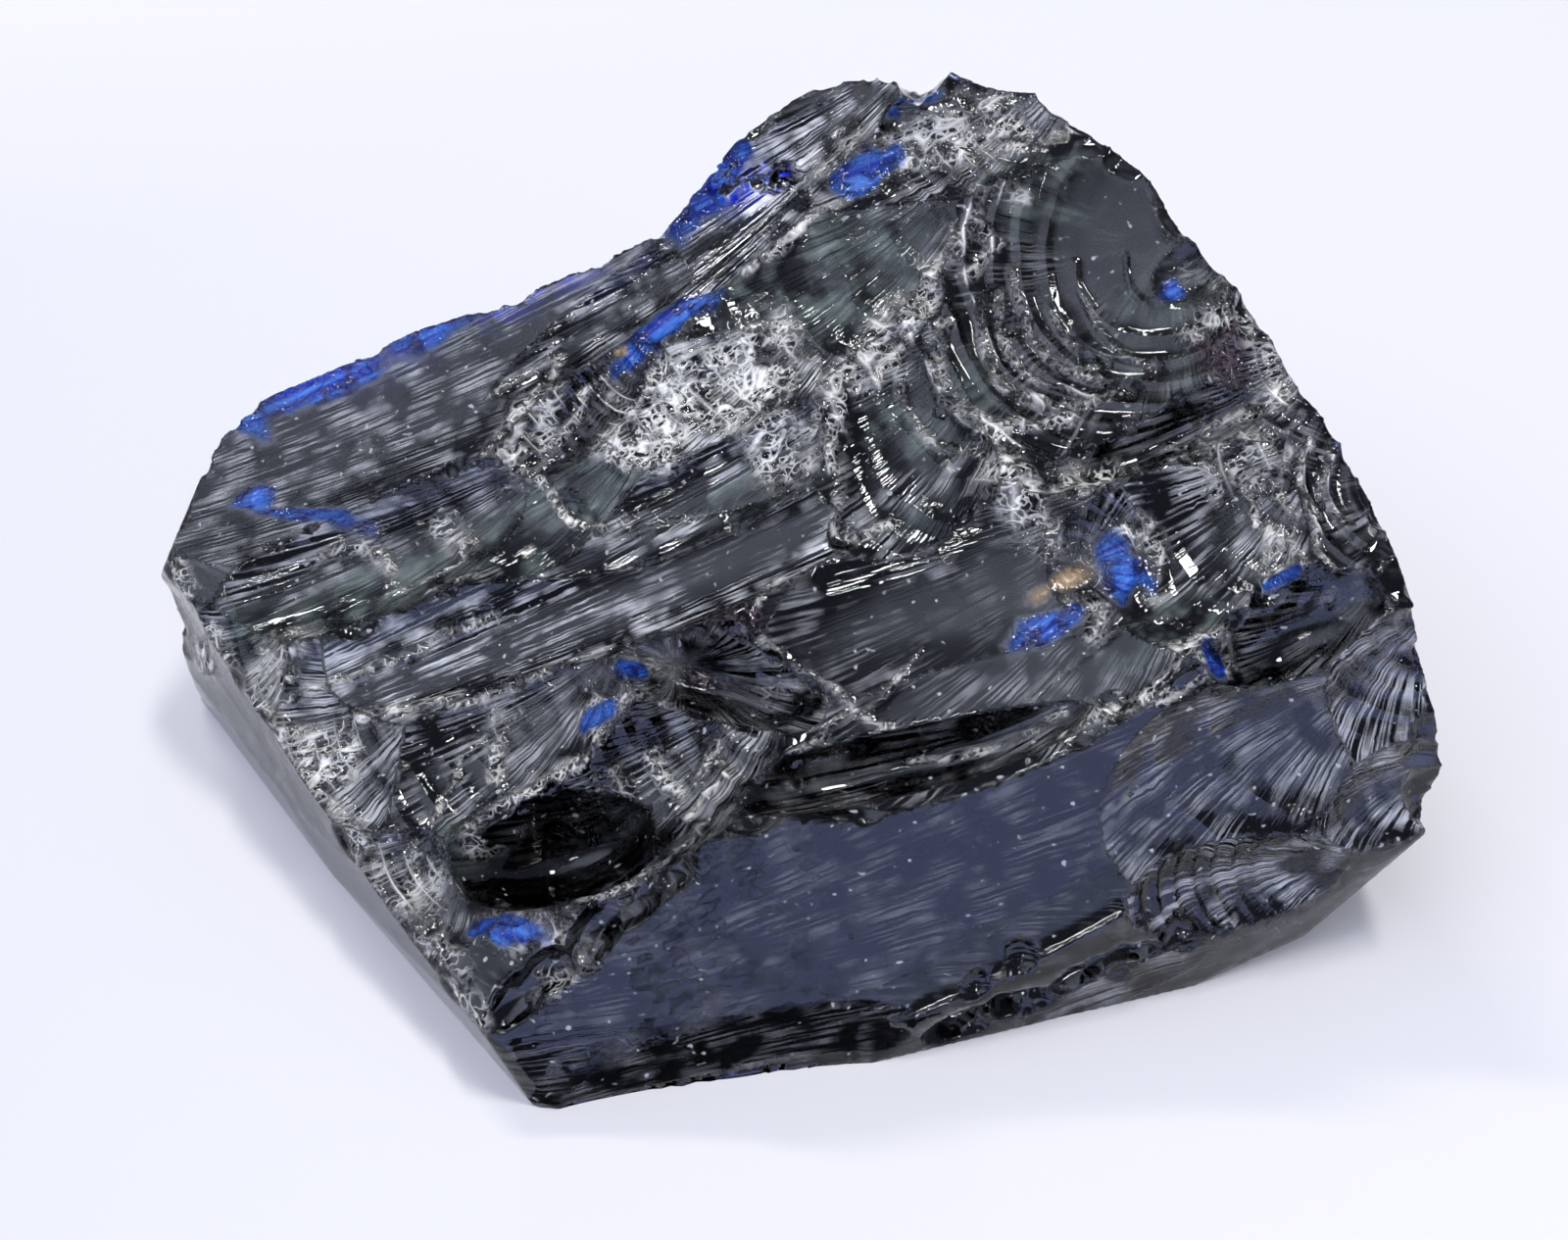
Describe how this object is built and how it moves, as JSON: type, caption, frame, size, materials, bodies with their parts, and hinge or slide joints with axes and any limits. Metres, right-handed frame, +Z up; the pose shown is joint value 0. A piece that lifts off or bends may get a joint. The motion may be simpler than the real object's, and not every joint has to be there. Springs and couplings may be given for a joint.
{
  "type": "rough alexandrite",
  "caption": "Broken block of dark blue-black gem rough, hollowed all over by shell-like fractures, standing on a flat break.",
  "frame": {"origin": "under the middle of the block's box, on the surface that it rests on", "axes": "+X towards the tall right end, +Y away from the smooth front break, +Z up"},
  "size_m": [0.1854, 0.1282, 0.0873],
  "materials": {
    "dark_gem": "glossy, nearly opaque, blue where it is thin"
  },
  "bodies": {
    "root": {"stone": "dark_gem"}
  },
  "joints": []
}
